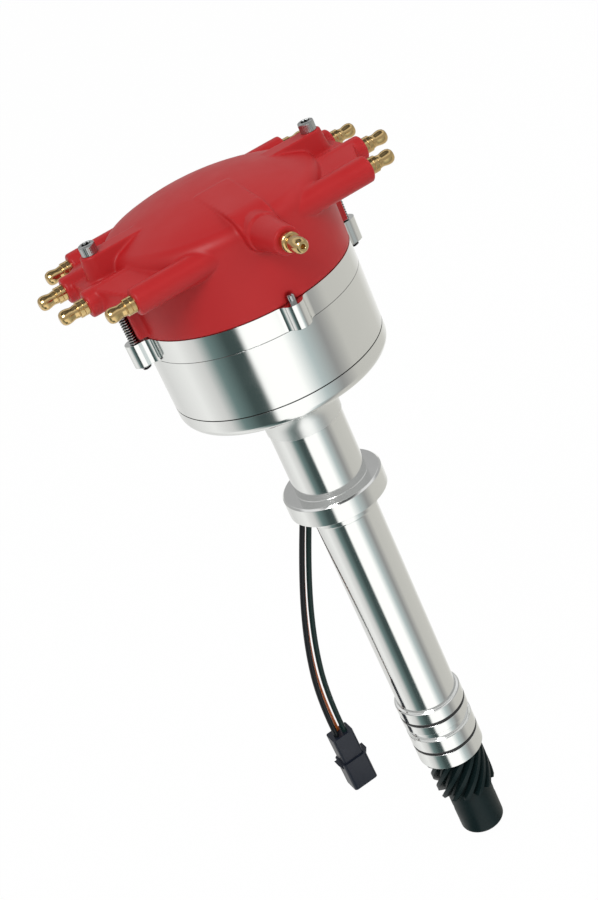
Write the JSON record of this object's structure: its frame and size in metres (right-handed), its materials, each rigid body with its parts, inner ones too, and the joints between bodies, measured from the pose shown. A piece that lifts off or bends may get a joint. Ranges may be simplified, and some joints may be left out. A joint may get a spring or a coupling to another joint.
{
  "type": "ignition distributor",
  "caption": "Ignition distributor with side-entry moulded cap, machined bowl, long flanged stem, helical drive gear and three-wire pickup connector.",
  "frame": {"origin": "on the drive shaft's axis, in the underside of the clamping collar", "axes": "+Z along the drive shaft towards the cap, -Y towards the coil tower, +X completes the right-handed frame"},
  "size_m": [0.149, 0.1265, 0.3524],
  "materials": {
    "red_cap": "satin",
    "black_plastic": "satin",
    "rotor_plastic": "satin",
    "aluminium": "machined, polished",
    "steel": "machined",
    "dark_steel": "blackened",
    "screw_steel": "plain",
    "spring_steel": "bright",
    "brass": "polished",
    "bronze": "sintered",
    "carbon": "matt",
    "seal_rubber": "matt",
    "wire_orange": "satin",
    "wire_black": "satin",
    "wire_green": "satin"
  },
  "bodies": {
    "housing_body": {"cap": "red_cap", "cap_terminals": "brass", "coil_terminal": "brass", "cap_electrodes": "brass", "carbon_brush": "carbon", "brush_spring": "spring_steel", "cap_screws": "screw_steel", "locating_pin": "screw_steel", "cap_ring": "aluminium", "ring_screws": "screw_steel", "bowl": "aluminium", "bowl_screws": "screw_steel", "housing": "aluminium", "o_rings": "seal_rubber", "upper_bushing": "bronze", "lower_bushing": "bronze", "pickup_plate": "steel", "plate_screws": "screw_steel", "pickup_module": "black_plastic", "module_screws": "screw_steel", "lead_grommet": "seal_rubber", "inner_harness": "wire_black", "lead_orange": "wire_orange", "lead_black": "wire_black", "lead_green": "wire_green", "lead_connector": "black_plastic", "connector_pins": "brass"},
    "shaft_body": {"drive_shaft": "steel", "drive_gear": "dark_steel", "gear_roll_pin": "spring_steel", "lower_thrust_washer": "steel", "upper_thrust_washer": "steel", "weight_plate": "steel", "weight_pivots": "steel", "weight_clips": "spring_steel", "spring_posts": "steel", "advance_springs": "spring_steel", "sleeve_clip": "spring_steel"},
    "advance_body": {"advance_sleeve": "steel", "shutter_wheel": "steel", "rotor": "rotor_plastic", "rotor_blade": "brass", "blade_rivet": "brass", "rotor_screws": "screw_steel"},
    "weight_a_body": {"advance_weight_a": "steel"},
    "weight_b_body": {"advance_weight_b": "steel"}
  },
  "joints": [
    {"name": "shaft_spin", "type": "hinge", "parent": "housing_body", "child": "shaft_body", "pos_m": [0, 0, 0], "axis": [0, 0, 1], "continuous": true},
    {"name": "spark_advance", "type": "hinge", "parent": "shaft_body", "child": "advance_body", "pos_m": [0, 0, 0.1], "axis": [0, 0, -1], "range_deg": [0, 12]},
    {"name": "weight_a_swing", "type": "hinge", "parent": "shaft_body", "child": "weight_a_body", "pos_m": [0.01761, 0.01144, 0.083], "axis": [0, 0, -1], "range_deg": [0, 18]},
    {"name": "weight_b_swing", "type": "hinge", "parent": "shaft_body", "child": "weight_b_body", "pos_m": [-0.01761, -0.01144, 0.083], "axis": [0, 0, -1], "range_deg": [0, 18]}
  ],
  "couplings": [
    {"joint": "weight_a_swing", "follows": "spark_advance", "ratio": 1.5},
    {"joint": "weight_b_swing", "follows": "spark_advance", "ratio": 1.5}
  ]
}
